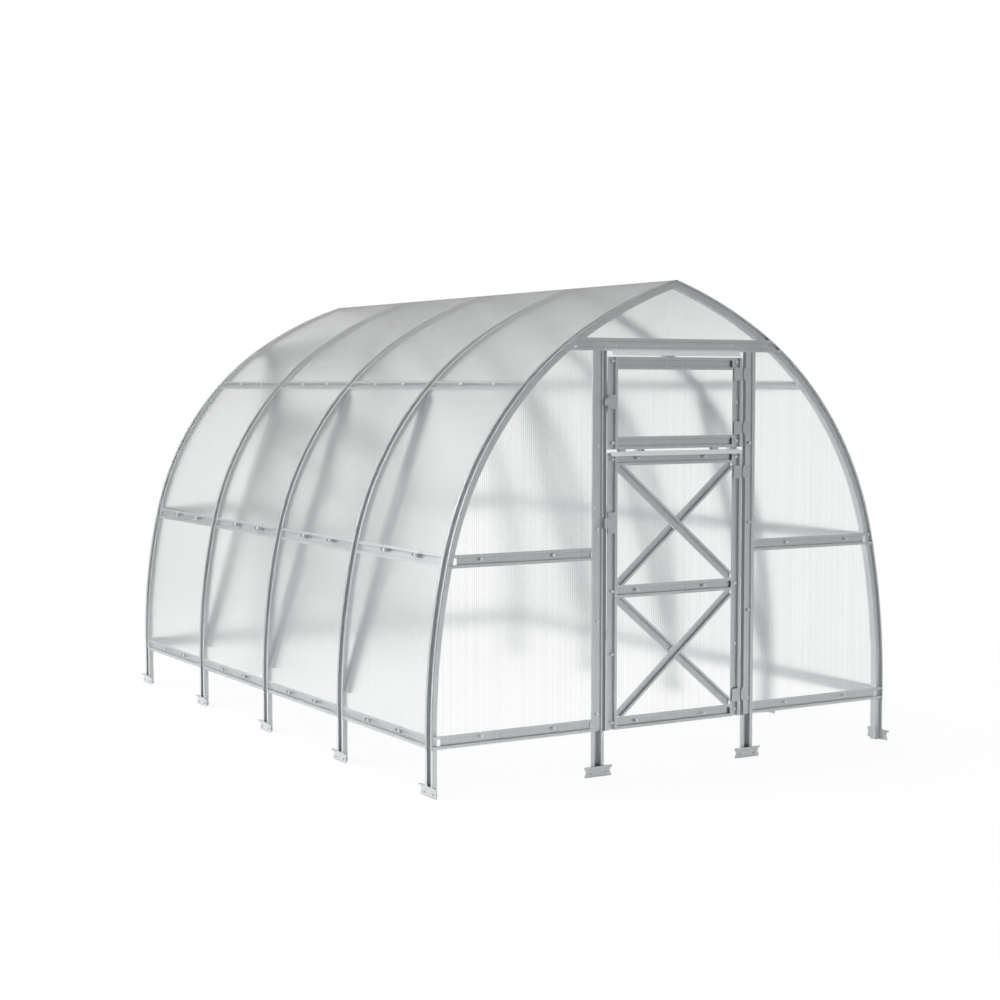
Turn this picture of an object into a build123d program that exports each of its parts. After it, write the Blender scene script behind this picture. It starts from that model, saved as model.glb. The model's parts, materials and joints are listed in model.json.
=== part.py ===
from build123d import *
import os
from math import acos, asin, atan2, cos, degrees, radians, sin

# An arched greenhouse: bent hat-section arches carry twin-wall sheets, with a
# door and a window sash in each pointed gable. Millimetres, +Z up, the front
# gable faces -Y, and the origin is on the ground at the middle of the plan.

# Driving dimensions of the whole
bay = 1002
bay_count = 4
half_span = 1467
leg_height = 313
low_radius = 3875
low_angle = 13
shoulder_radius = 1800
shoulder_angle = 58
ridge_radius = 2625
steel = 1.5
sheet = 4
sheet_joint = 2

# Arch and post section: a wide hat, open towards the sheets
hat_width = 76
hat_mouth = 38
hat_depth = 35

# Rail and purlin section: a shallow hat, open towards the sheets
rail_width = 66
rail_mouth = 36
rail_depth = 15
gable_rail_depth = 13.5
purlin_notch = 40
arch_notch = 18
lap_gap = 0.5
arch_gap = 2.5

# Struts of the inner arches: heights of the arch points they span, and their lap on the arch
strut_low = 386
strut_high = 1982
strut_lap = 10

# Heights of rail centre lines above the ground
base_rail_height = 271
mid_rail_height = 1161
cross_bar_height = 2237
upper_purlin_height = 2027
sheet_bottom = 236

# Door and window leaves between the gable posts
post_centre = 489
gable_sheet_edge = 461
leaf_half_width = 437
door_bottom = 236
door_top = 1678
door_mid_height = 957
sash_bottom = 1696
sash_top = 2174
brace_width = 54
brace_mouth = 30
stop_edge = 442.5
stop_thickness = 2

# Rain strips over the two leaves
door_strip_top = 1685
door_strip_half_width = 422
sash_strip_top = 2205
sash_strip_half_width = 415
strip_reach = 20
strip_fall = 20
strip_height = 24
strip_flange = 12

# Hinges and latches
hinge_x = 443.5
hinge_out = 5
hinge_pin_radius = 2.5
hinge_bore_radius = 3
hinge_knuckle_radius = 5
hinge_knuckle_length = 24
hinge_gap = 0.5
hinge_leaf_width = 58
hinge_post_width = 36
hinge_plate_height = 70
door_hinge_heights = (351, 1561)
sash_hinge_heights = (1798, 2087)
door_latch_height = 1317
door_latch_length = 110
sash_latch_height = 1941
sash_latch_length = 76
latch_width = 56
latch_boss = 6
latch_lever = 4
latch_reach = 24

# Feet
foot_length = 165
foot_height = 56
foot_thickness = 2
foot_lip = 14
foot_return = 9
foot_notch = 9

# Derived places
half_length = bay * bay_count / 2
gable_depth = half_length + hat_width / 2
wall_offset = hat_mouth / 2 + steel
arch_names = ("front", "second", "middle", "fourth", "rear")

os.makedirs("parts", exist_ok=True)


def on_circle(centre, radius, angle):
    """Point of a circle in the gable plane, angle in degrees from level."""
    return (centre[0] + radius * cos(radians(angle)), centre[1] + radius * sin(radians(angle)))


# The arch line has a straight leg and three arcs that run into each other
low_centre = (half_span - low_radius, leg_height)
low_end = on_circle(low_centre, low_radius, low_angle)
shoulder_centre = on_circle(low_end, -shoulder_radius, low_angle)
shoulder_end = on_circle(shoulder_centre, shoulder_radius, shoulder_angle)
ridge_centre = on_circle(shoulder_end, -ridge_radius, shoulder_angle)


def ridge_angle(offset):
    """Angle at which the ridge arc, set out by offset, meets the middle plane."""
    return degrees(acos(-ridge_centre[0] / (ridge_radius + offset)))


def arch_point(height):
    """Point of the arch's outer line at a height, and the angle of its normal."""
    for centre, radius, first, last in (
        (low_centre, low_radius, 0, low_angle),
        (shoulder_centre, shoulder_radius, low_angle, shoulder_angle),
        (ridge_centre, ridge_radius, shoulder_angle, ridge_angle(0)),
    ):
        angle = degrees(asin((height - centre[1]) / radius))
        if first <= angle <= last:
            return on_circle(centre, radius, angle)[0], angle
    return half_span, 0


def arch_curve(offset, foot):
    """Right half of the arch line set out by offset, from height foot to the ridge."""
    with BuildLine() as curve:
        Line((half_span + offset, foot), (half_span + offset, leg_height))
        CenterArc(low_centre, low_radius + offset, 0, low_angle)
        CenterArc(shoulder_centre, shoulder_radius + offset, low_angle, shoulder_angle - low_angle)
        CenterArc(ridge_centre, ridge_radius + offset, shoulder_angle, ridge_angle(offset) - shoulder_angle)
    return curve.line


def arch_band(outer, inner, foot):
    """Right half of a band that follows the arch between two offsets."""
    with BuildSketch() as band:
        with BuildLine():
            add(arch_curve(outer, foot))
            add(arch_curve(inner, foot))
            Line((half_span + outer, foot), (half_span + inner, foot))
            Line(
                on_circle(ridge_centre, ridge_radius + outer, ridge_angle(outer)),
                on_circle(ridge_centre, ridge_radius + inner, ridge_angle(inner)),
            )
        make_face()
    return band.sketch


def under_arch(bottom, top):
    """Area under the arch line, a small gap inside it, between two heights."""
    with BuildSketch() as area:
        with BuildLine():
            add(arch_curve(-arch_gap, 0))
            Line((half_span - arch_gap, 0), (0, 0))
            Line((0, 0), on_circle(ridge_centre, ridge_radius - arch_gap, ridge_angle(-arch_gap)))
        make_face()
        mirror(about=Plane.YZ)
        with Locations((0, (bottom + top) / 2)):
            Rectangle(2 * half_span, top - bottom, mode=Mode.INTERSECT)
    return area.sketch


def hat_section(width, mouth, depth):
    """Hat section with its flanges level with the local X axis and its web below."""
    with BuildSketch() as section:
        with BuildLine():
            Polyline(
                (0, -depth),
                (mouth / 2 + steel, -depth),
                (mouth / 2 + steel, -steel),
                (width / 2, -steel),
                (width / 2, 0),
                (mouth / 2, 0),
                (mouth / 2, steel - depth),
                (0, steel - depth),
            )
            mirror(about=Plane.YZ)
        make_face()
    return section.sketch


def hat_bar(start, along, outward, length, size, notch=0):
    """Straight hat-section bar of a given width, mouth and depth, its mouth towards outward."""
    width, mouth, depth = size
    across = Vector(*outward).cross(Vector(*along))
    place = Plane(origin=start, x_dir=across, z_dir=along)
    with BuildPart() as bar:
        with BuildSketch(place):
            add(hat_section(width, mouth, depth))
        extrude(amount=length)
        if notch:
            with BuildSketch(place, place.offset(length - notch)):
                with Locations((0, steel / 2 - depth)):
                    Rectangle(mouth, steel)
            extrude(amount=notch, mode=Mode.SUBTRACT)
    return bar.part


def gable_plane(back):
    """Plane of the front gable, set back from its outer edge. Its normal faces out."""
    return Plane.XZ.offset(gable_depth - back)


def gable_block(back, depth, x, height, width, tall, tilt=0):
    """Block that lies in the gable, from a depth behind its outer edge and forward."""
    with BuildPart() as block:
        with BuildSketch(gable_plane(back)):
            with Locations((x, height)):
                Rectangle(width, tall, rotation=tilt)
        extrude(amount=depth)
    return block.part


def save(part, name):
    """Write one named piece."""
    part.label = name
    export_step(part, f"parts/{name}.step")


def save_pair(part, name):
    """Write a piece of the front gable and its copy at the rear."""
    save(part, f"front_{name}")
    save(mirror(part, about=Plane.XZ), f"rear_{name}")


def foot_plate(place):
    """Plate with a notch in each end and a lip along its top, bent out and then down."""
    half = foot_length / 2
    with BuildPart() as foot:
        with BuildSketch(place):
            with BuildLine():
                Polyline(
                    (0, 0),
                    (half, 0),
                    (half, foot_notch),
                    (half - foot_notch, foot_height / 2),
                    (half, foot_height - foot_notch),
                    (half, foot_height),
                    (0, foot_height),
                )
                mirror(about=Plane.YZ)
            make_face()
        extrude(amount=foot_thickness)
        with BuildSketch(place):
            with Locations((0, foot_height - foot_thickness / 2)):
                Rectangle(foot_length, foot_thickness)
        extrude(amount=foot_lip)
        with BuildSketch(place.offset(foot_lip - foot_thickness)):
            with Locations((0, foot_height - foot_return / 2)):
                Rectangle(foot_length, foot_return)
        extrude(amount=foot_thickness)
    return foot.part


def gable_rails(heights, first_x):
    """Rails across the gable, from first_x out to the arch on both sides."""
    back = sheet + gable_rail_depth
    size = (rail_width, rail_mouth, gable_rail_depth)
    with BuildPart() as rails:
        for height in heights:
            for x in (-half_span, first_x):
                start = (x, sheet - gable_depth, height)
                add(hat_bar(start, (1, 0, 0), (0, -1, 0), half_span - first_x, size))
            web_end = arch_point(height)[0] - hat_depth - arch_notch
            for side in (-1, 1):
                notch_x = side * (web_end + half_span)
                notch = gable_block(back, steel, notch_x, height, 2 * half_span, rail_mouth)
                add(notch, mode=Mode.SUBTRACT)
        with BuildSketch(gable_plane(back)):
            add(under_arch(0, 2 * half_span))
        extrude(amount=gable_rail_depth, mode=Mode.INTERSECT)
    return rails.part


def leaf_stiles(bottom, top):
    """Two upright bars of a leaf."""
    size = (rail_width, rail_mouth, rail_depth)
    stile_x = leaf_half_width - rail_width / 2
    with BuildPart() as stiles:
        for x in (-stile_x, stile_x):
            add(hat_bar((x, sheet - gable_depth, bottom), (0, 0, 1), (0, -1, 0), top - bottom, size))
    return stiles.part


def leaf_rails(heights):
    """Level bars of a leaf. Their walls tuck under the stiles' flanges."""
    size = (rail_width, rail_mouth, rail_depth)
    reach = leaf_half_width - rail_width / 2 - rail_mouth / 2 - steel
    with BuildPart() as rails:
        for height in heights:
            add(hat_bar((-reach, sheet - gable_depth, height), (1, 0, 0), (0, -1, 0), 2 * reach, size))
            for side in (-1, 1):
                x = side * (leaf_half_width - rail_width / 2)
                trim = gable_block(sheet + steel, steel, x, height, rail_width, rail_width)
                add(trim, mode=Mode.SUBTRACT)
    return rails.part


def leaf_cross(bottom, top, rise):
    """Crossed braces of a panel. Rise is 1 if the one that climbs to the right runs through."""
    half_width = leaf_half_width - rail_width
    middle = (bottom + top) / 2
    tilt = degrees(atan2(top - bottom, 2 * half_width))
    back = sheet + rail_depth
    gap_width = brace_width + 2 * lap_gap
    size = (brace_width, brace_mouth, rail_depth)
    with BuildPart() as cross:
        for turn in (-rise, rise):
            along = Vector(1, 0, 0).rotate(Axis.Y, -turn * tilt)
            start = Vector(0, sheet - gable_depth, middle) - along * top
            if turn == rise:
                gap = gable_block(back, rail_depth, 0, middle, 2 * top, gap_width, turn * tilt)
                add(gap, mode=Mode.SUBTRACT)
            add(hat_bar(start, along, (0, -1, 0), 2 * top, size))
        add(gable_block(back, rail_depth, 0, middle, 2 * half_width, top - bottom), mode=Mode.INTERSECT)
    return cross.part


def leaf_sheet(bottom, top):
    """Flat sheet that covers a leaf."""
    return gable_block(sheet, sheet, 0, (bottom + top) / 2, 2 * leaf_half_width, top - bottom)


def rain_strip(top, back, flange, half_width):
    """Folded strip: a flange against the gable, a slope that throws rain off and a lip."""
    rear_y = back - gable_depth
    lip_y = rear_y - strip_reach
    with BuildPart() as strip:
        with BuildSketch(Plane.YZ.offset(-half_width)):
            with BuildLine():
                Polyline(
                    (rear_y, top),
                    (lip_y, top - strip_fall),
                    (lip_y, top - strip_height),
                    (lip_y + steel, top - strip_height),
                    (lip_y + steel, top - strip_fall - steel / 2),
                    (rear_y, top - 2 * steel),
                    (rear_y, top),
                )
            make_face()
            with Locations((rear_y - steel / 2, (flange[0] + flange[1]) / 2)):
                Rectangle(steel, flange[1] - flange[0])
        extrude(amount=2 * half_width)
    return strip.part


def hinge_half(height, side):
    """Plate and knuckle of a hinge. Side is 1 for the post half, with the pin, or -1 for the leaf half."""
    knuckle_bottom = height - hinge_knuckle_length if side > 0 else height + hinge_gap
    knuckle_length = hinge_knuckle_length - hinge_gap
    plate_width = hinge_post_width if side > 0 else hinge_leaf_width
    plate_x = hinge_knuckle_radius + hinge_gap + plate_width / 2
    axis = Plane((hinge_x, -gable_depth - hinge_out, 0))
    with BuildPart() as half:
        with BuildSketch(axis.offset(height - hinge_plate_height / 2)):
            with Locations((side * plate_x, hinge_out - steel / 2)):
                Rectangle(plate_width, steel)
        extrude(amount=hinge_plate_height)
        with BuildSketch(axis.offset(knuckle_bottom)):
            Circle(hinge_knuckle_radius)
            with Locations((side * hinge_knuckle_radius, hinge_out - steel / 2)):
                Rectangle(2 * hinge_knuckle_radius, steel)
            if side < 0:
                Circle(hinge_bore_radius, mode=Mode.SUBTRACT)
        extrude(amount=knuckle_length)
        if side > 0:
            with BuildSketch(axis.offset(knuckle_bottom)):
                Circle(hinge_pin_radius)
            extrude(amount=2 * hinge_knuckle_length)
    return half.part


def latch(height, length):
    """Turn latch on the left stile: a plate, a boss and a lever that reaches over the post."""
    x = -leaf_half_width + latch_width / 2 + steel
    with BuildPart() as turn:
        with BuildSketch(gable_plane(0)):
            with Locations((x, height)):
                RectangleRounded(latch_width, length, latch_width / 6)
        extrude(amount=steel)
        with BuildSketch(gable_plane(0)):
            with Locations((x, height)):
                Circle(latch_width / 4)
        extrude(amount=steel + latch_boss)
        with BuildSketch(gable_plane(-steel - latch_boss)):
            with Locations((-leaf_half_width, height)):
                RectangleRounded(2 * latch_reach, length / 2, latch_width / 8)
        extrude(amount=latch_lever)
    return turn.part


# Arches, from the front gable to the rear one
for index, arch_name in enumerate(arch_names):
    arch_plane = Plane.XZ.offset(half_length - index * bay)
    with BuildPart() as arch:
        with BuildSketch(arch_plane):
            add(arch_band(0, -hat_depth, 0))
        extrude(amount=wall_offset, both=True)
        with BuildSketch(arch_plane):
            add(arch_band(0, -steel, 0))
        extrude(amount=hat_width / 2, both=True)
        with BuildSketch(arch_plane):
            add(arch_band(0, steel - hat_depth, 0))
        extrude(amount=hat_mouth / 2, both=True, mode=Mode.SUBTRACT)
        mirror(about=Plane.YZ)
    save(arch.part, f"arch_{arch_name}")

# Rails and purlins of the long sides, one bar in each bay, just under the arches' flanges
for rail_name, height in (
    ("base_rails", base_rail_height),
    ("mid_purlins", mid_rail_height),
    ("upper_purlins", upper_purlin_height),
):
    rail_x, rail_angle = arch_point(height)
    out_x = cos(radians(rail_angle))
    out_z = sin(radians(rail_angle))
    drop = steel + lap_gap
    size = (rail_width, rail_mouth, rail_depth)
    with BuildPart() as rails:
        for side in (-1, 1):
            for index in range(bay_count):
                start_y = index * bay - half_length + wall_offset
                start = (side * (rail_x - drop * out_x), start_y, height - drop * out_z)
                outward = (side * out_x, 0, out_z)
                add(hat_bar(start, (0, 1, 0), outward, bay - 2 * wall_offset, size, purlin_notch))
    save(rails.part, rail_name)

# Straight struts on the front wall of each inner arch, from its leg up to the upper purlin
foot_x, foot_angle = arch_point(strut_low)
head_x, head_angle = arch_point(strut_high)
foot_point = on_circle((foot_x, strut_low), -hat_depth, foot_angle)
head_point = on_circle((head_x, strut_high), -hat_depth, head_angle)
with BuildPart() as struts:
    for side in (-1, 1):
        foot = Vector(side * foot_point[0], 0, foot_point[1])
        head = Vector(side * head_point[0], 0, head_point[1])
        along = (head - foot).normalized()
        length = (head - foot).length + 2 * strut_lap
        for index in range(1, bay_count):
            start = foot - along * strut_lap + Vector(0, index * bay - half_length - wall_offset, 0)
            add(hat_bar(start, along, (0, 1, 0), length, (rail_width, rail_mouth, rail_depth)))
save(struts.part, "arch_struts")

# Covering sheets, each over two bays, from the base rail to the ridge
for side_name, side in (("left", -1), ("right", 1)):
    for end_name, start_y in (("front", 0), ("rear", gable_depth)):
        with BuildPart() as cover:
            with BuildSketch(Plane.XZ.offset(-start_y)):
                add(arch_band(sheet, 0, sheet_bottom))
            extrude(amount=gable_depth)
            if side < 0:
                mirror(about=Plane.YZ, mode=Mode.REPLACE)
        save(cover.part, f"roof_sheet_{side_name}_{end_name}")

# A foot plate on the outer face of every leg
with BuildPart() as leg_feet:
    for side in (-1, 1):
        for index in range(bay_count + 1):
            foot_place = (side * half_span, index * bay - half_length, 0)
            add(foot_plate(Plane(foot_place, x_dir=(0, side, 0), z_dir=(side, 0, 0))))
save(leg_feet.part, "leg_feet")

# Gable posts from the ground to the cross bar, their feet, and the strips beside the leaves
post_face = sheet - gable_depth
post_length = cross_bar_height - rail_width / 2
stop_width = gable_sheet_edge - stop_edge
stop_height = post_length - sheet_bottom
with BuildPart() as posts:
    for x in (-post_centre, post_centre):
        add(hat_bar((x, post_face, 0), (0, 0, 1), (0, -1, 0), post_length, (hat_width, hat_mouth, hat_depth)))
with BuildPart() as post_feet:
    for x in (-post_centre, post_centre):
        add(foot_plate(Plane((x, post_face, 0), x_dir=(1, 0, 0), z_dir=(0, -1, 0))))
with BuildPart() as stop_strips:
    for side in (-1, 1):
        x = side * (stop_edge + stop_width / 2)
        add(gable_block(sheet, stop_thickness, x, sheet_bottom + stop_height / 2, stop_width, stop_height))
save_pair(posts.part, "posts")
save_pair(post_feet.part, "post_feet")
save_pair(stop_strips.part, "stop_strips")

# Gable rails run from the posts to the arch, and the cross bar runs over the posts
post_edge = post_centre + hat_width / 2
side_rails = gable_rails((base_rail_height, mid_rail_height), post_edge)
save_pair(side_rails, "side_rails")
cross_bar = gable_rails((cross_bar_height,), 0)
save_pair(cross_bar, "cross_bar")

# Gable sheets fit inside the lip of the end arch and meet on the cross bar
with BuildPart() as side_sheets:
    with BuildSketch(gable_plane(sheet)):
        add(under_arch(sheet_bottom, cross_bar_height - sheet_joint / 2))
        with Locations((0, cross_bar_height)):
            Rectangle(2 * gable_sheet_edge, 2 * cross_bar_height, mode=Mode.SUBTRACT)
    extrude(amount=sheet)
with BuildPart() as top_sheet:
    with BuildSketch(gable_plane(sheet)):
        add(under_arch(cross_bar_height + sheet_joint / 2, 2 * cross_bar_height))
    extrude(amount=sheet)
save_pair(side_sheets.part, "side_sheets")
save_pair(top_sheet.part, "top_sheet")

# Window sash over the door
half_rail = rail_width / 2
sash_stiles = leaf_stiles(sash_bottom, sash_top)
sash_rails = leaf_rails((sash_bottom + half_rail, sash_top - half_rail))
sash_sheet = leaf_sheet(sash_bottom, sash_top)
sash_strip_flange = (sash_strip_top - strip_flange / 2, sash_strip_top + strip_flange / 2)
sash_strip = rain_strip(sash_strip_top, sheet, sash_strip_flange, sash_strip_half_width)
sash_latch = latch(sash_latch_height, sash_latch_length)
with BuildPart() as sash_hinges:
    for height in sash_hinge_heights:
        add(hinge_half(height, 1))
        add(hinge_half(height, -1))
save(sash_stiles, "sash_stiles")
save(sash_rails, "sash_rails")
save(sash_sheet, "sash_sheet")
save(sash_strip, "sash_strip")
save(sash_latch, "sash_latch")
save(sash_hinges.part, "sash_hinges")

# Door leaf with a cross of braces in each panel
door_stiles = leaf_stiles(door_bottom, door_top)
door_rails = leaf_rails((door_bottom + half_rail, door_mid_height, door_top - half_rail))
door_sheet = leaf_sheet(door_bottom, door_top)
door_strip_flange = (door_top - strip_flange, door_strip_top - steel)
door_strip = rain_strip(door_strip_top, 0, door_strip_flange, door_strip_half_width)
door_latch = latch(door_latch_height, door_latch_length)
with BuildPart() as door_braces:
    add(leaf_cross(door_bottom + rail_width, door_mid_height - half_rail, 1))
    add(leaf_cross(door_mid_height + half_rail, door_top - rail_width, -1))
with BuildPart() as door_hinge_leaves:
    for height in door_hinge_heights:
        add(hinge_half(height, -1))
with BuildPart() as door_hinge_posts:
    for height in door_hinge_heights:
        add(hinge_half(height, 1))
save(door_stiles, "door_stiles")
save(door_rails, "door_rails")
save(door_sheet, "door_sheet")
save(door_strip, "door_strip")
save(door_latch, "door_latch")
save(door_braces.part, "door_braces")
save(door_hinge_leaves.part, "door_hinge_leaves")
save(door_hinge_posts.part, "door_hinge_posts")

# The rear gable has the same leaves, fixed
for name, pieces in (
    ("rear_leaf_stiles", (sash_stiles, door_stiles)),
    ("rear_leaf_rails", (sash_rails, door_rails)),
    ("rear_leaf_sheets", (sash_sheet, door_sheet)),
    ("rear_door_braces", (door_braces.part,)),
    ("rear_rain_strips", (sash_strip, door_strip)),
    ("rear_latches", (sash_latch, door_latch)),
    ("rear_hinges", (sash_hinges.part, door_hinge_leaves.part, door_hinge_posts.part)),
):
    with BuildPart() as rear:
        for piece in pieces:
            add(mirror(piece, about=Plane.XZ))
    save(rear.part, name)
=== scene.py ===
import json
from math import asin, atan2, cos, pi, radians, sin

import bmesh
import bpy
from mathutils import Matrix, Vector


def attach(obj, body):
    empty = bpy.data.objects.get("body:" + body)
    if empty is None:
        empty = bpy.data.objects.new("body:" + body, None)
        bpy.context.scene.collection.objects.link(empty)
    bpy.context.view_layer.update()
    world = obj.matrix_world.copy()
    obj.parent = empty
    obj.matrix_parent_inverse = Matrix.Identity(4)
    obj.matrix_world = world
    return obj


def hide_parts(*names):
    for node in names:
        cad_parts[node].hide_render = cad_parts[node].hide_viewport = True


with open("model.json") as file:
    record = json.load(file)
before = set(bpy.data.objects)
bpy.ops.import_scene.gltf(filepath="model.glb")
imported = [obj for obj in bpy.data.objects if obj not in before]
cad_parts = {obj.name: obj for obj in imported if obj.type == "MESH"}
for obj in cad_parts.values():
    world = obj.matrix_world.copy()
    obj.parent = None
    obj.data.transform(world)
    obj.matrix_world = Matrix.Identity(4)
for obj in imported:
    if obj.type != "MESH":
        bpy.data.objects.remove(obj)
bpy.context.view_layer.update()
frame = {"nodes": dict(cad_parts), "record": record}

# Sizes and places that the pieces share, in metres, with angles in degrees
half_span = 1.467
leg_height = 0.313
low_radius, low_angle = 3.875, 13
shoulder_radius, shoulder_angle = 1.800, 58
ridge_radius = 2.625
past_ridge_angle = 14.5
bay = 1.002
bay_count = 4
gable_depth = 2.042
sheet = 0.004
seat_gap = 0.0004
seam_gap = 0.0003
arch_line_gap = 0.0025
sheet_bottom = 0.236
cross_bar_height = 2.237
cross_bar_seam = 0.001
gable_sheet_edge = 0.461
leaf_half_width = 0.437
door_heights = (0.236, 1.678)
sash_heights = (1.696, 2.174)
post_centre = 0.489
rail_depth = 0.0175
flute_pitch = 0.0118
strip_rib_pitch = 0.0045
sharp_angle = 20
merge_distance = 0.00001


# Shader building

class Wire:
    """A socket of a finish that can be used in plain arithmetic."""

    def __init__(self, finish, socket):
        self.finish = finish
        self.socket = socket

    def maths(self, operation, first, second=0.0, clamp=False):
        settings = {"operation": operation, "use_clamp": clamp}
        return self.finish.node("ShaderNodeMath", settings, {0: first, 1: second})

    def __add__(self, other):
        return self.maths("ADD", self, other)

    def __radd__(self, other):
        return self.maths("ADD", other, self)

    def __sub__(self, other):
        return self.maths("SUBTRACT", self, other)

    def __rsub__(self, other):
        return self.maths("SUBTRACT", other, self)

    def __mul__(self, other):
        return self.maths("MULTIPLY", self, other)

    def __rmul__(self, other):
        return self.maths("MULTIPLY", other, self)

    def __pow__(self, other):
        return self.maths("POWER", self, other)

    def cosine(self):
        return self.maths("COSINE", self)

    def either(self, other):
        return self.maths("MAXIMUM", self, other)

    def limited(self):
        return self.maths("ADD", self, 0.0, clamp=True)


class Finish:
    """A material or world and the nodes it is made of."""

    def __init__(self, owner, coordinates="Object"):
        self.owner = owner
        owner.use_nodes = True
        self.tree = owner.node_tree
        self.tree.nodes.clear()
        self.place = Wire(self, self.tree.nodes.new("ShaderNodeTexCoord").outputs[coordinates])

    def node(self, kind, settings, sockets, output=0):
        made = self.tree.nodes.new(kind)
        for key, value in settings.items():
            setattr(made, key, value)
        for key, value in sockets.items():
            if isinstance(value, Wire):
                self.tree.links.new(value.socket, made.inputs[key])
            else:
                made.inputs[key].default_value = value
        return Wire(self, made.outputs[output])

    def along(self, axis):
        """One coordinate of the place, or of the direction in a world."""
        return self.node("ShaderNodeSeparateXYZ", {}, {0: self.place}, axis)

    def noise(self, scale, detail=2.0, stretch=None):
        """Cloudy values, with the place scaled by stretch on each axis where it is given."""
        place = self.place
        if stretch:
            place = self.node("ShaderNodeVectorMath", {"operation": "MULTIPLY"}, {0: place, 1: stretch})
        return self.node("ShaderNodeTexNoise", {}, {"Vector": place, "Scale": scale, "Detail": detail})

    def cells(self, scale):
        """One even value in each cell of a crystal pattern."""
        colour = self.node("ShaderNodeTexVoronoi", {}, {"Vector": self.place, "Scale": scale}, "Color")
        return self.node("ShaderNodeRGBToBW", {}, {0: colour})

    def ray(self, kind):
        return self.node("ShaderNodeLightPath", {}, {}, kind)

    def seen_directly(self):
        """One for a camera ray, straight or only through sheets, and zero for reflected light."""
        straight = self.ray("Is Camera Ray").either(self.ray("Is Transmission Ray"))
        return (straight - self.ray("Glossy Depth") - self.ray("Diffuse Depth")).limited()

    def blend(self, factor, first, second):
        return self.node("ShaderNodeMix", {"data_type": "RGBA"}, {0: factor, 6: first, 7: second}, 2)

    def bump(self, height, distance, strength):
        sockets = {"Height": height, "Distance": distance, "Strength": strength}
        return self.node("ShaderNodeBump", {}, sockets)

    def surface(self, shader, output="ShaderNodeOutputMaterial"):
        out = self.tree.nodes.new(output)
        self.tree.links.new(shader.socket, out.inputs["Surface"])
        return self.owner


# Finishes

def galvanised(name, light, dark, rough):
    """Zinc-coated strip: faint crystal spangle, an uneven sheen, and inner corners darkened by painted
    shade.
    """
    finish = Finish(bpy.data.materials.new(name))
    spangle = finish.cells(60.0)
    cloud = finish.noise(7.0, 3.0)
    grain = finish.noise(800.0)
    tone = (spangle * 0.3 + cloud * 0.5 + grain * 0.2).limited()
    zinc = finish.blend(tone, (*dark, 1), (*light, 1))
    # Painted shade: ambient occlusion within each part blends the colour toward a dark shade colour in
    # corners and in the mouths of the profiles
    settings = {"only_local": True, "samples": 6}
    painted_shade_openness = finish.node("ShaderNodeAmbientOcclusion", settings, {"Distance": 0.03}, "AO")
    crevice_painted_shade = (*[c * 0.42 for c in dark], 1)
    shader = finish.node("ShaderNodeBsdfPrincipled", {}, {
        "Base Color": finish.blend((painted_shade_openness * 1.3).limited(), crevice_painted_shade, zinc),
        "Metallic": 0.9,
        "Roughness": spangle * 0.1 + grain * 0.06 + (rough - 0.08),
        "Normal": finish.bump(grain * 0.5 + spangle * 0.5, 0.0001, 0.4),
    })
    return finish.surface(shader)


def rubber(name, colour):
    """Matt seal rubber with fine ribs along the strip."""
    finish = Finish(bpy.data.materials.new(name))
    grain = finish.noise(420.0, 3.0)
    rib = (finish.along(0) * (2 * pi / strip_rib_pitch)).cosine() * 0.5 + 0.5
    low = (*[c * 0.8 for c in colour], 1)
    high = (*[c * 1.15 for c in colour], 1)
    shader = finish.node("ShaderNodeBsdfPrincipled", {}, {
        "Base Color": finish.blend(grain * 0.6 + rib * 0.4, low, high),
        "Roughness": grain * 0.2 + 0.5,
        "Normal": finish.bump(rib, 0.0004, 0.6),
    })
    return finish.surface(shader)


def ribbed_sheet(name, axis, clear, webbed, haze):
    """Clear twin-wall sheet: inner webs at an even pitch, and walls that soften what is far behind."""
    finish = Finish(bpy.data.materials.new(name))
    wave = (finish.along(axis) * (2 * pi / flute_pitch)).cosine() * 0.5 + 0.5
    uneven = finish.noise(1.0, 2.0, (45, 45, 0) if axis == 0 else (0, 45, 0))
    web = wave ** 3.0 * ((uneven - 0.3) * 2.5).limited()
    grazing = finish.node("ShaderNodeLayerWeight", {}, {"Blend": 0.5}, "Facing") ** 3.0
    tint = finish.blend(web, (*clear, 1), (*webbed, 1))
    veil = (0.72, 0.73, 0.735, 1)
    shader = finish.node("ShaderNodeBsdfPrincipled", {}, {
        "Base Color": finish.blend((grazing * haze).limited(), tint, veil),
        "Roughness": web * 0.06 + 0.22,
        "IOR": 1.16,
        "Transmission Weight": 1.0,
        "Normal": finish.bump(wave, 0.0006, 0.35),
    })
    return finish.surface(shader)


steel_finish = galvanised("galvanised_steel_strip", (0.66, 0.685, 0.69), (0.55, 0.572, 0.578), 0.34)
folded_finish = galvanised("bright_folded_strip", (0.82, 0.845, 0.85), (0.74, 0.765, 0.77), 0.4)
fitting_finish = galvanised("zinc_plated_fitting", (0.56, 0.58, 0.585), (0.42, 0.44, 0.445), 0.36)
screw_finish = galvanised("bright_screw", (0.8, 0.815, 0.82), (0.7, 0.715, 0.72), 0.32)
washer_finish = galvanised("dull_washer", (0.24, 0.25, 0.255), (0.17, 0.18, 0.185), 0.45)
strip_finish = rubber("grey_seal_rubber", (0.17, 0.18, 0.183))
gable_sheet_finish = ribbed_sheet(
    "ribbed_sheet_gable", 0, (0.998, 0.999, 0.999), (0.86, 0.87, 0.875), 0.3,
)
roof_sheet_finish = ribbed_sheet(
    "ribbed_sheet_roof", 1, (0.928, 0.933, 0.935), (0.84, 0.85, 0.855), 0.25,
)

slot_finish = {
    "galvanised_steel": steel_finish,
    "folded_steel": folded_finish,
    "zinc_fittings": fitting_finish,
    "rubber_strip": strip_finish,
    "twin_wall_sheet": gable_sheet_finish,
}
for part in frame["record"]["subparts"]:
    for slot in frame["nodes"][part["node"]].material_slots:
        slot.material = slot_finish[part["material_slot"]]


# Building pieces

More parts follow.
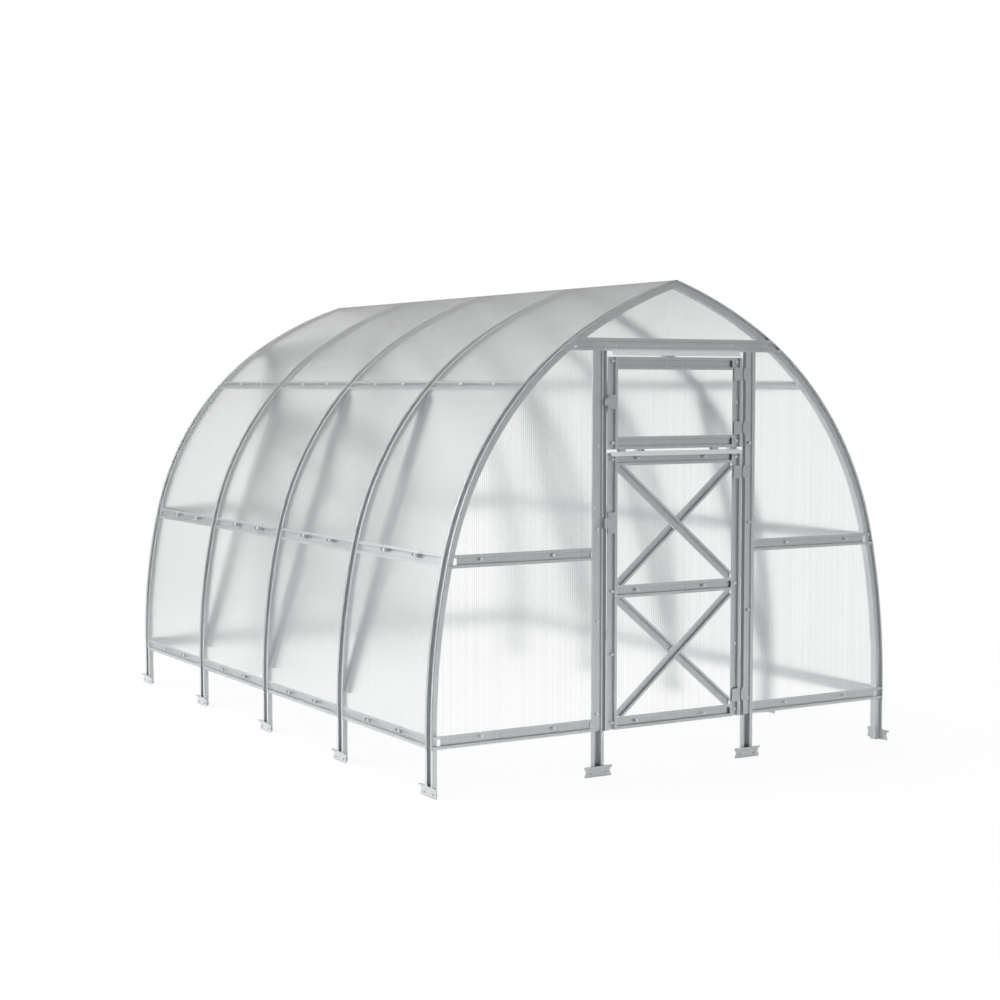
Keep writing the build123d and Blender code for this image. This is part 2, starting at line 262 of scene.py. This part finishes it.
def add_object(name, mesh, finish):
    data = bpy.data.meshes.new(name)
    mesh.to_mesh(data)
    mesh.free()
    data.materials.append(finish)
    made = bpy.data.objects.new(name, data)
    bpy.context.scene.collection.objects.link(made)
    return made


def add_piece(name, mesh, finish, body):
    piece = add_object(name, mesh, finish)
    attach(piece, body)
    return piece


def only_verts(geometry):
    return [item for item in geometry if isinstance(item, bmesh.types.BMVert)]


def extrude_faces(mesh, faces, way):
    """Extrude faces along a way and give back the new geometry."""
    made = bmesh.ops.extrude_face_region(mesh, geom=faces)["geom"]
    bmesh.ops.translate(mesh, verts=only_verts(made), vec=way)
    return made


screw_head = 0.0065
screw_rim = 0.0012
shank_tip, shank_root = 0.0024, 0.0026


def put_screw(mesh, place, outward, shank, head=screw_head):
    """A washer-head screw with its seat at place and its shank going in."""
    turn = Vector((0, 0, 1)).rotation_difference(Vector(outward)).to_matrix().to_4x4()
    seat = Matrix.Translation(place) @ turn
    for sides, low, high, bottom, depth in (
        (16, head * 1.25, head * 1.1, 0.0, screw_rim),
        (6, head * 0.82, head * 0.74, screw_rim, head * 0.55),
        (10, shank_tip, shank_root, -shank, shank),
    ):
        bmesh.ops.create_cone(
            mesh, cap_ends=True, segments=sides, radius1=low, radius2=high, depth=depth,
            matrix=seat @ Matrix.Translation((0, 0, bottom + depth / 2)),
        )


def put_gable_screw(mesh, end, place, shank, head=screw_head, set_back=0.0):
    """A screw at a place across a gable, with its seat set back from the gable's face."""
    x, z = place
    put_screw(mesh, (x, end * (gable_depth - set_back), z), (0, end, 0), shank, head)


def crossings(lines, heights):
    """Places where lines up a gable meet lines across it."""
    return [(x, z) for z in heights for x in lines]


# The arch line: a straight leg and three arcs that run into each other

def on_circle(centre, radius, angle):
    return (centre[0] + radius * cos(radians(angle)), centre[1] + radius * sin(radians(angle)))


low_centre = (half_span - low_radius, leg_height)
low_end = on_circle(low_centre, low_radius, low_angle)
shoulder_centre = on_circle(low_end, -shoulder_radius, low_angle)
shoulder_end = on_circle(shoulder_centre, shoulder_radius, shoulder_angle)
ridge_centre = on_circle(shoulder_end, -ridge_radius, shoulder_angle)
arcs = (
    (low_centre, low_angle, 12),
    (shoulder_centre, shoulder_angle - low_angle, 40),
    (ridge_centre, past_ridge_angle, 13),
)


def sweep_arch_line(mesh, offsets):
    """Sweep a point or a short edge, at offsets from the line, up the right leg and past the ridge."""
    corners = [mesh.verts.new((half_span + offset, 0, sheet_bottom)) for offset in offsets]
    if len(corners) == 1:
        raised = bmesh.ops.extrude_vert_indiv(mesh, verts=corners)["verts"]
    else:
        made = bmesh.ops.extrude_edge_only(mesh, edges=[mesh.edges.new(corners)])["geom"]
        raised = only_verts(made)
    for corner in raised:
        corner.co.z = leg_height
    tip = raised + [edge for edge in mesh.edges if set(edge.verts) <= set(raised)]
    for (x, z), turn, steps in arcs:
        spun = bmesh.ops.spin(
            mesh, geom=tip, cent=(x, 0, z), axis=(0, -1, 0),
            angle=radians(turn), steps=steps, use_duplicate=False,
        )
        tip = spun["geom_last"]


def everything(mesh):
    return mesh.verts[:] + mesh.edges[:] + mesh.faces[:]


def cut_away(mesh, point, beyond):
    """Cut a flat mesh along a line and clear what lies beyond it."""
    bmesh.ops.bisect_plane(
        mesh, geom=everything(mesh), plane_co=point, plane_no=beyond, clear_outer=True,
    )


def side_point(height):
    """Point of the arch line at a height on the right side, and its slope in radians."""
    if height < leg_height:
        return half_span, 0.0
    low_arc = (low_centre, low_radius, low_angle)
    shoulder_arc = (shoulder_centre, shoulder_radius, shoulder_angle)
    for centre, radius, last in (low_arc, shoulder_arc):
        rise = (height - centre[1]) / radius
        if rise <= sin(radians(last)):
            break
    angle = asin(rise)
    return centre[0] + radius * cos(angle), angle


# Sheets, a hair thinner than the solids so that steel shows clearly behind them

def thicken(mesh, start_y, end_y):
    """Give a flat mesh its place and thickness, its curved faces smooth and its edges sharp."""
    bmesh.ops.remove_doubles(mesh, verts=mesh.verts, dist=merge_distance)
    bmesh.ops.translate(mesh, verts=mesh.verts, vec=(0, start_y, 0))
    extrude_faces(mesh, mesh.faces[:], (0, end_y - start_y, 0))
    bmesh.ops.recalc_face_normals(mesh, faces=mesh.faces)
    for face in mesh.faces:
        face.smooth = abs(face.normal.y) < 0.5
    for edge in mesh.edges:
        edge.smooth = len(edge.link_faces) == 2 and edge.calc_face_angle() < radians(sharp_angle)
    return mesh


def joined(meshes):
    """One mesh from several."""
    whole = bmesh.new()
    for part in meshes:
        data = bpy.data.meshes.new("part")
        part.to_mesh(data)
        part.free()
        whole.from_mesh(data)
        bpy.data.meshes.remove(data)
    return whole


def flip(mesh, side):
    """Mirror a right-hand mesh where the side is the left one, -1."""
    bmesh.ops.scale(mesh, verts=mesh.verts, vec=(side, 1, 1))
    return mesh


def cover_section():
    """Cut through a covering sheet, from the sill to the ridge on the right side."""
    mesh = bmesh.new()
    sweep_arch_line(mesh, (seat_gap, sheet))
    cut_away(mesh, (0, 0, 0), (-1, 0, 0))
    return mesh


def gable_section(inner_x):
    """The gable's plane from the arch line in to inner_x, on the right side."""
    mesh = bmesh.new()
    sweep_arch_line(mesh, (-arch_line_gap,))
    cut_away(mesh, (0, 0, 0), (-1, 0, 0))
    made = bmesh.ops.extrude_edge_only(mesh, edges=mesh.edges[:])["geom"]
    for corner in only_verts(made):
        corner.co.x = inner_x
    return mesh


def side_section():
    """The gable sheet beside the door, from the sill to the cross bar."""
    mesh = gable_section(gable_sheet_edge + seam_gap)
    cut_away(mesh, (0, 0, cross_bar_height - cross_bar_seam), (0, 0, 1))
    return mesh


def top_section():
    """The gable sheet over the cross bar, on both sides."""
    mesh = gable_section(0)
    cut_away(mesh, (0, 0, cross_bar_height + cross_bar_seam), (0, 0, -1))
    bmesh.ops.mirror(mesh, geom=everything(mesh), axis="X", merge_dist=merge_distance)
    return mesh


def leaf_section(heights):
    """A pane of the door or the sash between two heights."""
    mesh = bmesh.new()
    upright = Matrix.Rotation(pi / 2, 4, "X")
    bmesh.ops.create_grid(mesh, x_segments=1, y_segments=1, size=1, matrix=upright)
    low, high = heights
    bmesh.ops.scale(mesh, verts=mesh.verts, vec=(leaf_half_width, 1, (high - low) / 2))
    bmesh.ops.translate(mesh, verts=mesh.verts, vec=(0, 0, (low + high) / 2))
    return mesh


halves = (("front", -gable_depth, -seam_gap), ("rear", seam_gap, gable_depth))
for side_name, side in (("left", -1), ("right", 1)):
    for end_name, start_y, end_y in halves:
        mesh = thicken(flip(cover_section(), side), start_y, end_y)
        name = f"cover_{side_name}_{end_name}"
        piece = add_piece(name, mesh, roof_sheet_finish, "frame")
        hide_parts(f"roof_sheet_{side_name}_{end_name}")

for end_name, end in (("front", -1), ("rear", 1)):
    outer_y = end * gable_depth
    inner_y = end * (gable_depth - sheet + seat_gap)
    mesh = joined([thicken(flip(side_section(), side), outer_y, inner_y) for side in (-1, 1)])
    piece = add_piece(f"{end_name}_gable_sides", mesh, gable_sheet_finish, "frame")
    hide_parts(f"{end_name}_side_sheets")
    mesh = thicken(top_section(), outer_y, inner_y)
    piece = add_piece(f"{end_name}_gable_top", mesh, gable_sheet_finish, "frame")
    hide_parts(f"{end_name}_top_sheet")
    if end < 0:
        leaves = (
            ("sash_pane", "frame", "sash_sheet", (sash_heights,)),
            ("door_pane", "door", "door_sheet", (door_heights,)),
        )
    else:
        leaves = (("rear_panes", "frame", "rear_leaf_sheets", (sash_heights, door_heights)),)
    for name, body, node, spans in leaves:
        mesh = joined([thicken(leaf_section(span), outer_y, inner_y) for span in spans])
        piece = add_piece(name, mesh, gable_sheet_finish, body)
        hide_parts(node)


# Shallow channels in the mouths of the posts, which carry the screws of the gable sheets
liner_half_width = 0.0185
liner_gauge = 0.0012
liner_web_depth = 0.0120
liner_edge_depth = 0.0245
liner_top = 2.204


def liner_outline():
    """Corners of the channel's section, across and back from the gable's face."""
    web = liner_web_depth
    inner = liner_half_width - liner_gauge
    back = web + liner_gauge
    outside = [(-liner_half_width, liner_edge_depth), (-liner_half_width, web)]
    outside += [(liner_half_width, web), (liner_half_width, liner_edge_depth)]
    inside = [(inner, liner_edge_depth), (inner, back), (-inner, back), (-inner, liner_edge_depth)]
    return outside + inside


mesh = bmesh.new()
for end in (-1, 1):
    for side in (-1, 1):
        corners = []
        for x, depth in liner_outline():
            place = (side * post_centre + x, end * (gable_depth - depth), sheet_bottom)
            corners.append(mesh.verts.new(place))
        extrude_faces(mesh, [mesh.faces.new(corners)], (0, 0, liner_top - sheet_bottom))
bmesh.ops.recalc_face_normals(mesh, faces=mesh.faces)
add_piece("post_liners", mesh, steel_finish, "frame")


# Screws through the side sheets into the purlins, two in each bay. Those of the lower two rows have
# long washers, and the upper row's stand at the same height over the sheet
washer_length = 0.075
washer_width = 0.017
washer_thickness = 0.0012
washer_rounding = 0.0005
washer_corners = 16
side_shank = 0.019
screw_shares_of_bay = (0.31, 0.655)
purlin_rows = ((0.280, True), (1.170, True), (2.030, False))


def long_washer(place, lean):
    """A washer along the building with round ends and a rounded rim, leaning as the arch line does."""
    mesh = bmesh.new()
    half_step = Matrix.Rotation(pi / washer_corners, 4, "Z")
    bmesh.ops.create_circle(
        mesh, cap_ends=True, segments=washer_corners, radius=washer_width / 2, matrix=half_step,
    )
    for end in (-1, 1):
        half = [corner for corner in mesh.verts if corner.co.y * end > 0]
        bmesh.ops.translate(mesh, verts=half, vec=(0, end * (washer_length - washer_width) / 2, 0))
    made = extrude_faces(mesh, mesh.faces[:], (0, 0, washer_thickness))
    rim = [item for item in made if isinstance(item, bmesh.types.BMEdge)]
    bmesh.ops.bevel(
        mesh, geom=rim, offset=washer_rounding, segments=1, profile=0.5, affect="EDGES", material=-1,
    )
    bmesh.ops.recalc_face_normals(mesh, faces=mesh.faces)
    seat = Matrix.Translation(place) @ Matrix.Rotation(lean, 4, "Y")
    bmesh.ops.transform(mesh, matrix=seat, verts=mesh.verts)
    return mesh


washers = []
mesh = bmesh.new()
for height, on_washers in purlin_rows:
    x, angle = side_point(height)
    for side in (-1, 1):
        outward = Vector((side * cos(angle), 0, sin(angle)))
        for index in range(bay_count):
            for share in screw_shares_of_bay:
                y = (index - bay_count / 2 + share) * bay
                seat = Vector((side * x, y, height)) + outward * sheet
                if on_washers:
                    washers.append(long_washer(seat, atan2(outward.x, outward.z)))
                put_screw(mesh, seat + outward * washer_thickness, outward, side_shank)
add_piece("side_washers", joined(washers), washer_finish, "frame")
add_piece("side_screws", mesh, screw_finish, "frame")

# Screws through the gable sheets into the rails, the posts and the cross bar, at both ends
rail_screws = crossings((-1.185, -0.760, 0.760, 1.185), (0.280, 1.165))
post_screws = crossings((-0.494, 0.494), (0.327, 0.808, 1.287, 1.717))
flange_bolts = crossings((-0.519, 0.519), (1.335, 1.399))
flange_bolt_shank = 0.008
bar_bolts = crossings((-0.380, 0.372), (2.235,))
bar_bolt_shank = 0.004
bar_bolt_head = 0.009
bar_bolt_set_back = 0.0159
mesh = bmesh.new()
for end in (-1, 1):
    for place in rail_screws + post_screws:
        put_gable_screw(mesh, end, place, rail_depth)
    for place in flange_bolts:
        put_gable_screw(mesh, end, place, flange_bolt_shank)
    for place in bar_bolts:
        put_gable_screw(mesh, end, place, bar_bolt_shank, bar_bolt_head, bar_bolt_set_back)
add_piece("gable_screws", mesh, screw_finish, "frame")

# Screws of the leaves: at their corners, along the stiles and along the door's rails
stile_lines = (-0.400, 0.400)
sash_screws = crossings(stile_lines, (1.729, 2.152)) + [(0.398, 1.934)]
door_screws = crossings(stile_lines, (0.274, 0.632, 0.960, 1.645))
door_screws += crossings((-0.242, 0.193), (0.269, 0.959, 1.650))
for name, body, front, rear in (
    ("sash_screws", "frame", sash_screws, sash_screws + door_screws),
    ("door_screws", "door", door_screws, []),
):
    mesh = bmesh.new()
    for end, places in ((-1, front), (1, rear)):
        for place in places:
            put_gable_screw(mesh, end, place, rail_depth)
    add_piece(name, mesh, screw_finish, body)

# Screws of the foot plates, two in each
foot_face = 0.002
foot_screw_steps = (-0.045, 0.045)
foot_screw_height = 0.020
foot_shank = 0.012
foot_head = 0.005
mesh = bmesh.new()
for side in (-1, 1):
    for index in range(bay_count + 1):
        for step in foot_screw_steps:
            y = (index - bay_count / 2) * bay + step
            place = (side * (half_span + foot_face), y, foot_screw_height)
            put_screw(mesh, place, (side, 0, 0), foot_shank, foot_head)
for end in (-1, 1):
    for side in (-1, 1):
        for step in foot_screw_steps:
            place = (side * post_centre + step, foot_screw_height)
            put_gable_screw(mesh, end, place, foot_shank, foot_head, sheet - foot_face)
add_piece("foot_screws", mesh, fitting_finish, "frame")


# Light and camera

middle = Vector((0, 0, 1.0))


def lamp(name, place, size, energy, colour):
    """A soft rectangular light aimed at the middle of the greenhouse."""
    data = bpy.data.lights.new(name, "AREA")
    data.shape = "RECTANGLE"
    data.size, data.size_y = size
    data.energy = energy
    data.color = colour
    made = bpy.data.objects.new(name, data)
    made.location = place
    made.rotation_euler = (middle - Vector(place)).to_track_quat("-Z", "Y").to_euler()
    bpy.context.scene.collection.objects.link(made)


lamp("left_softbox", (-9.0, 3.0, 5.0), (7, 6), 700, (1.0, 0.998, 0.99))
lamp("top_softbox", (-1.0, -1.0, 9.0), (7, 7), 420, (1.0, 1.0, 1.0))

# White to the camera and through the sheets, and a softer studio to everything else
world = Finish(bpy.data.worlds.new("white_studio"), "Generated")
bpy.context.scene.world = world.owner
seen = world.seen_directly()
toward_left = (world.along(0) * -0.7 + world.along(1) * 0.5 + world.along(2) * 0.4).either(0.0)
upward = world.along(2).either(0.0) ** 2.0
room = toward_left * 0.45 + upward * 0.35 + 0.5
strength = seen + (1.0 - seen) * room
studio = world.node("ShaderNodeBackground", {}, {"Color": (1, 1, 1, 1), "Strength": strength})
world.surface(studio, "ShaderNodeOutputWorld")


def pale_floor(name):
    """White to the camera and through the sheets, with a little of the object's shadow close to it."""
    finish = Finish(bpy.data.materials.new(name))
    matt = finish.node("ShaderNodeBsdfDiffuse", {}, {"Color": (0.8, 0.805, 0.81, 1)})
    white = finish.node("ShaderNodeEmission", {}, {"Color": (1, 1, 1, 1), "Strength": 1.0})
    distance = finish.node("ShaderNodeVectorMath", {"operation": "LENGTH"}, {0: finish.place}, "Value")
    shadow_reach = 3.0
    whiteness = (0.88 + (distance - shadow_reach).either(0.0) * 0.05).limited()
    factor = finish.seen_directly() * whiteness
    return finish.surface(finish.node("ShaderNodeMixShader", {}, {0: factor, 1: matt, 2: white}))


mesh = bmesh.new()
bmesh.ops.create_circle(mesh, cap_ends=True, segments=64, radius=60)
floor = add_object("floor", mesh, pale_floor("pale_floor"))
floor.location = (0, 0, -0.0005)

camera_pitch = -3.609
camera_heading = -30.772
camera = bpy.data.cameras.new("photo_view")
camera.sensor_width = 36
camera.lens = 65.55
camera.clip_end = 200
viewer = bpy.data.objects.new("photo_view", camera)
viewer.location = (-5.7029, -9.804, 2.0274)
viewer.rotation_euler = (radians(90 + camera_pitch), 0, radians(camera_heading))
bpy.context.scene.collection.objects.link(viewer)
bpy.context.scene.camera = viewer
bpy.context.scene.view_settings.view_transform = "Standard"
